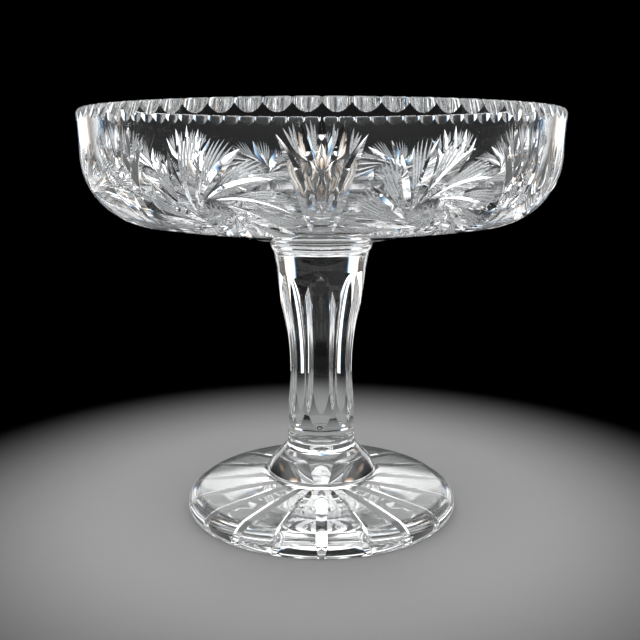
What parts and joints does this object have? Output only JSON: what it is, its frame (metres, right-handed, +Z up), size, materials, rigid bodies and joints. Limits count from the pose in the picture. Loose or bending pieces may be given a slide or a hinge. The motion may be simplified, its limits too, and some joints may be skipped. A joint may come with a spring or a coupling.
{
  "type": "pedestal fruit bowl",
  "caption": "Clear cut-crystal pedestal bowl for fruit: a low wide bowl with a scalloped rim and cut fans and pinwheels, on a fluted stem and a rayed round foot.",
  "frame": {"origin": "centre of the face that the foot stands on", "axes": "+Z up along the axis of the stem, -Y towards the front, where a fan of the pattern is centred"},
  "size_m": [0.2502, 0.2502, 0.217],
  "materials": {
    "clear_crystal": "clear colourless lead crystal, wheel-cut and polished"
  },
  "bodies": {
    "root": {"foot": "clear_crystal", "foot_wafer": "clear_crystal", "stem": "clear_crystal", "bowl_wafer": "clear_crystal", "bowl": "clear_crystal"}
  },
  "joints": []
}
